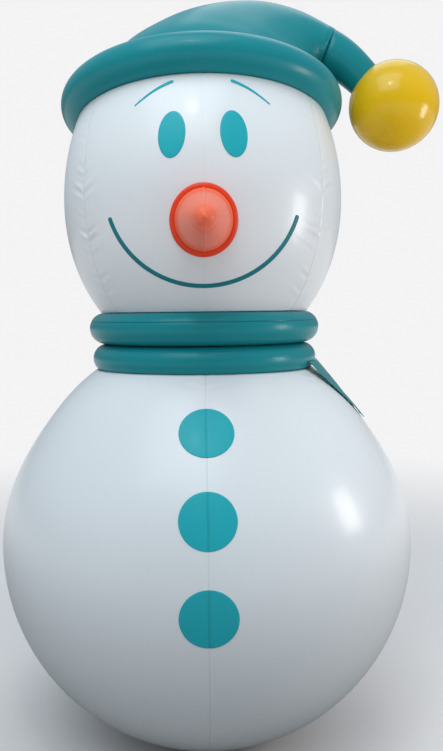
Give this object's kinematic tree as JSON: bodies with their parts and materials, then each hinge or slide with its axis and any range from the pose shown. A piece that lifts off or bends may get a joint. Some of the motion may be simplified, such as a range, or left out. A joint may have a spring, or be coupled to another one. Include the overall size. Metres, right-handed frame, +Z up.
{
  "type": "inflatable snowman",
  "caption": "Tall inflatable snowman of sealed air chambers with a hat, scarf, buttons, cone nose and water ballast, a free-standing yard decoration.",
  "frame": {"origin": "centre of the flat base's underside, on the ground", "axes": "+Z up, the face looks along -Y, +X to the figure's left hand side, which is on the right of a front view and where the hat's tail hangs"},
  "size_m": [1.6221, 1.5718, 2.6916],
  "materials": {
    "white_vinyl": "smooth glossy white welded PVC film",
    "teal_vinyl": "smooth glossy teal PVC film",
    "yellow_vinyl": "smooth glossy golden yellow PVC film",
    "orange_vinyl": "smooth orange-red PVC film",
    "base_rubber": "matt grey rubber",
    "ballast_vinyl": "smooth dark blue PVC film",
    "white_plastic": "moulded off-white plastic",
    "webbing": "woven black webbing",
    "steel": "plain bright steel wire"
  },
  "bodies": {
    "figure": {"body_envelope": "white_vinyl", "head_envelope": "white_vinyl", "tie_patch_right_front": "white_vinyl", "tie_patch_right_rear": "white_vinyl", "tie_patch_left_rear": "white_vinyl", "tie_patch_left_front": "white_vinyl", "mouth": "teal_vinyl", "eye_left": "teal_vinyl", "eye_right": "teal_vinyl", "brow_left": "teal_vinyl", "brow_right": "teal_vinyl", "button_top": "teal_vinyl", "button_middle": "teal_vinyl", "button_bottom": "teal_vinyl", "hat_brim": "teal_vinyl", "hat_crown": "teal_vinyl", "scarf_ring_lower": "teal_vinyl", "scarf_ring_upper": "teal_vinyl", "nose_cone": "orange_vinyl", "base_pad": "base_rubber", "ballast_bag": "ballast_vinyl", "ballast_tube": "ballast_vinyl", "valve_flange": "white_plastic", "valve_nut": "white_plastic", "ballast_port": "white_plastic", "tie_loop_right_front": "webbing", "tie_loop_right_rear": "webbing", "tie_loop_left_rear": "webbing", "tie_loop_left_front": "webbing", "valve_spring": "steel"},
    "hat_tail": {"hat_tail": "teal_vinyl", "hat_pompom": "yellow_vinyl"},
    "scarf_tail_front": {"scarf_tail_front": "teal_vinyl"},
    "scarf_tail_rear": {"scarf_tail_rear": "teal_vinyl"},
    "valve_cap": {"valve_cap": "white_plastic"},
    "ballast_cap": {"ballast_cap": "white_plastic"},
    "valve_poppet": {"valve_poppet": "base_rubber"},
    "tie_ring_right_front": {"tie_ring_right_front": "steel"},
    "tie_ring_right_rear": {"tie_ring_right_rear": "steel"},
    "tie_ring_left_rear": {"tie_ring_left_rear": "steel"},
    "tie_ring_left_front": {"tie_ring_left_front": "steel"}
  },
  "joints": [
    {"name": "hat_tail_flop", "type": "hinge", "parent": "figure", "child": "hat_tail", "pos_m": [0.4645, 0.08718, 2.52079], "axis": [0, 0.9864, -0.1642], "range_deg": [-9, 7], "stiffness_Nm_per_rad": 12, "springref_deg": -2.86},
    {"name": "scarf_front_lift", "type": "hinge", "parent": "figure", "child": "scarf_tail_front", "pos_m": [0.382, -0.15434, 1.386], "axis": [-0.3746, -0.9272, 0], "range_deg": [0, 75]},
    {"name": "scarf_rear_lift", "type": "hinge", "parent": "figure", "child": "scarf_tail_rear", "pos_m": [0.41043, -0.03591, 1.386], "axis": [-0.0872, -0.9962, 0], "range_deg": [0, 75]},
    {"name": "tie_ring_swing_right_front", "type": "hinge", "parent": "figure", "child": "tie_ring_right_front", "pos_m": [0.69522, 0.25304, 0.55594], "axis": [0.342, -0.9397, 0], "range_deg": [-15, 150]},
    {"name": "tie_ring_swing_right_rear", "type": "hinge", "parent": "figure", "child": "tie_ring_right_rear", "pos_m": [0.31267, 0.67052, 0.55594], "axis": [0.9063, -0.4226, 0], "range_deg": [-15, 150]},
    {"name": "tie_ring_swing_left_rear", "type": "hinge", "parent": "figure", "child": "tie_ring_left_rear", "pos_m": [-0.31267, 0.67052, 0.55594], "axis": [0.9063, 0.4226, 0], "range_deg": [-15, 150]},
    {"name": "tie_ring_swing_left_front", "type": "hinge", "parent": "figure", "child": "tie_ring_left_front", "pos_m": [-0.69522, 0.25304, 0.55594], "axis": [0.342, 0.9397, 0], "range_deg": [-15, 150]},
    {"name": "valve_cap_lift", "type": "slide", "parent": "figure", "child": "valve_cap", "axis": [0, 0.8829, -0.4695], "range_m": [0, 0.03]},
    {"name": "ballast_cap_lift", "type": "slide", "parent": "figure", "child": "ballast_cap", "axis": [0, 0.5299, -0.848], "range_m": [0, 0.03]},
    {"name": "valve_poppet_push", "type": "slide", "parent": "figure", "child": "valve_poppet", "axis": [0, -0.8829, 0.4695], "range_m": [0, 0.006], "stiffness_N_per_m": 150, "springref_m": -0.006, "deforming": ["valve_spring"]}
  ]
}
